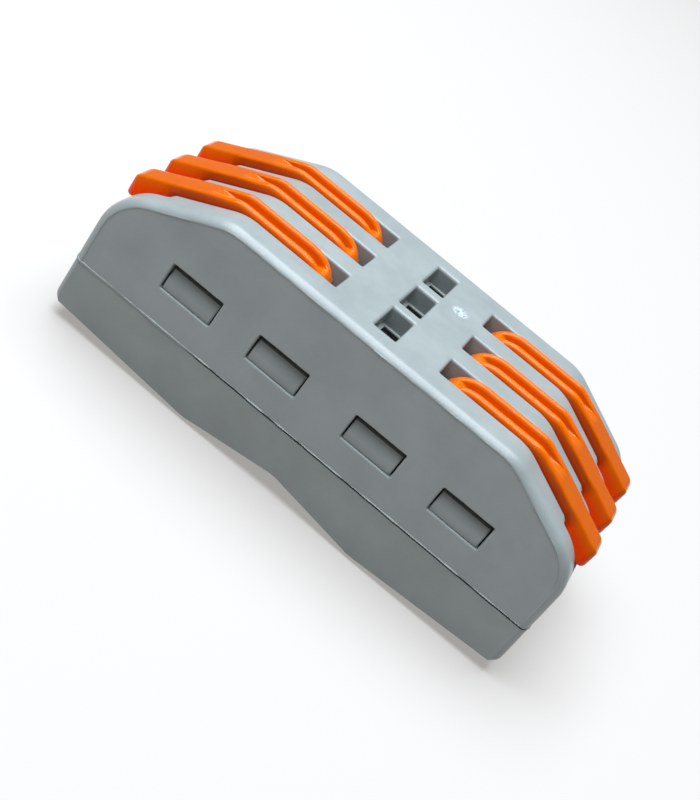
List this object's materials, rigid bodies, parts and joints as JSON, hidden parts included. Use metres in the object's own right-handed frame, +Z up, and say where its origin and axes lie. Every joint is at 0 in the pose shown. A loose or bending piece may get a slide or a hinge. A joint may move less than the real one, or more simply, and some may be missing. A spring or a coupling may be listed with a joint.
{
  "type": "inline lever wire connector",
  "caption": "Inline splice connector: grey two-part shell, orange lift levers at both ends, cage-clamp springs and through current bars.",
  "frame": {"origin": "bottom centre of the whole connector with all levers closed, on the plane of the two ridges it rests on", "axes": "+X along the wires, +Y across the poles, +Z up towards the levers"},
  "size_m": [0.0402, 0.0186, 0.0142],
  "materials": {
    "housing_grey": "satin moulded polyamide, fine grain",
    "cover_grey": "satin moulded polyamide, fine grain",
    "lever_orange": "glossy moulded plastic",
    "spring_steel": "bright stainless spring strip",
    "tinned_copper": "dull tin plate on copper"
  },
  "bodies": {
    "housing": {"housing": "housing_grey", "base_cover": "cover_grey", "current_bar_front": "tinned_copper", "current_bar_middle": "tinned_copper", "current_bar_rear": "tinned_copper"},
    "lever_left_front": {"lever_left_front": "lever_orange"},
    "clamp_spring_left_front": {"clamp_spring_left_front": "spring_steel"},
    "lever_left_middle": {"lever_left_middle": "lever_orange"},
    "clamp_spring_left_middle": {"clamp_spring_left_middle": "spring_steel"},
    "lever_left_rear": {"lever_left_rear": "lever_orange"},
    "clamp_spring_left_rear": {"clamp_spring_left_rear": "spring_steel"},
    "lever_right_front": {"lever_right_front": "lever_orange"},
    "clamp_spring_right_front": {"clamp_spring_right_front": "spring_steel"},
    "lever_right_middle": {"lever_right_middle": "lever_orange"},
    "clamp_spring_right_middle": {"clamp_spring_right_middle": "spring_steel"},
    "lever_right_rear": {"lever_right_rear": "lever_orange"},
    "clamp_spring_right_rear": {"clamp_spring_right_rear": "spring_steel"}
  },
  "joints": [
    {"name": "lever_left_front_hinge", "type": "hinge", "parent": "housing", "child": "lever_left_front", "pos_m": [-0.00775, -0.0051, 0.01175], "axis": [0, 1, 0], "range_deg": [0, 95]},
    {"name": "clamp_spring_left_front_flex", "type": "hinge", "parent": "housing", "child": "clamp_spring_left_front", "pos_m": [-0.0045, -0.0051, 0.00885], "axis": [0, -1, 0], "range_deg": [0, 14.3]},
    {"name": "lever_left_middle_hinge", "type": "hinge", "parent": "housing", "child": "lever_left_middle", "pos_m": [-0.00775, 0, 0.01175], "axis": [0, 1, 0], "range_deg": [0, 95]},
    {"name": "clamp_spring_left_middle_flex", "type": "hinge", "parent": "housing", "child": "clamp_spring_left_middle", "pos_m": [-0.0045, 0, 0.00885], "axis": [0, -1, 0], "range_deg": [0, 14.3]},
    {"name": "lever_left_rear_hinge", "type": "hinge", "parent": "housing", "child": "lever_left_rear", "pos_m": [-0.00775, 0.0051, 0.01175], "axis": [0, 1, 0], "range_deg": [0, 95]},
    {"name": "clamp_spring_left_rear_flex", "type": "hinge", "parent": "housing", "child": "clamp_spring_left_rear", "pos_m": [-0.0045, 0.0051, 0.00885], "axis": [0, -1, 0], "range_deg": [0, 14.3]},
    {"name": "lever_right_front_hinge", "type": "hinge", "parent": "housing", "child": "lever_right_front", "pos_m": [0.00775, -0.0051, 0.01175], "axis": [0, -1, 0], "range_deg": [0, 95]},
    {"name": "clamp_spring_right_front_flex", "type": "hinge", "parent": "housing", "child": "clamp_spring_right_front", "pos_m": [0.0045, -0.0051, 0.00885], "axis": [0, 1, 0], "range_deg": [0, 14.3]},
    {"name": "lever_right_middle_hinge", "type": "hinge", "parent": "housing", "child": "lever_right_middle", "pos_m": [0.00775, 0, 0.01175], "axis": [0, -1, 0], "range_deg": [0, 95]},
    {"name": "clamp_spring_right_middle_flex", "type": "hinge", "parent": "housing", "child": "clamp_spring_right_middle", "pos_m": [0.0045, 0, 0.00885], "axis": [0, 1, 0], "range_deg": [0, 14.3]},
    {"name": "lever_right_rear_hinge", "type": "hinge", "parent": "housing", "child": "lever_right_rear", "pos_m": [0.00775, 0.0051, 0.01175], "axis": [0, -1, 0], "range_deg": [0, 95]},
    {"name": "clamp_spring_right_rear_flex", "type": "hinge", "parent": "housing", "child": "clamp_spring_right_rear", "pos_m": [0.0045, 0.0051, 0.00885], "axis": [0, 1, 0], "range_deg": [0, 14.3]}
  ],
  "couplings": [
    {"joint": "clamp_spring_left_front_flex", "follows": "lever_left_front_hinge", "ratio": 0.15},
    {"joint": "clamp_spring_left_middle_flex", "follows": "lever_left_middle_hinge", "ratio": 0.15},
    {"joint": "clamp_spring_left_rear_flex", "follows": "lever_left_rear_hinge", "ratio": 0.15},
    {"joint": "clamp_spring_right_front_flex", "follows": "lever_right_front_hinge", "ratio": 0.15},
    {"joint": "clamp_spring_right_middle_flex", "follows": "lever_right_middle_hinge", "ratio": 0.15},
    {"joint": "clamp_spring_right_rear_flex", "follows": "lever_right_rear_hinge", "ratio": 0.15}
  ]
}
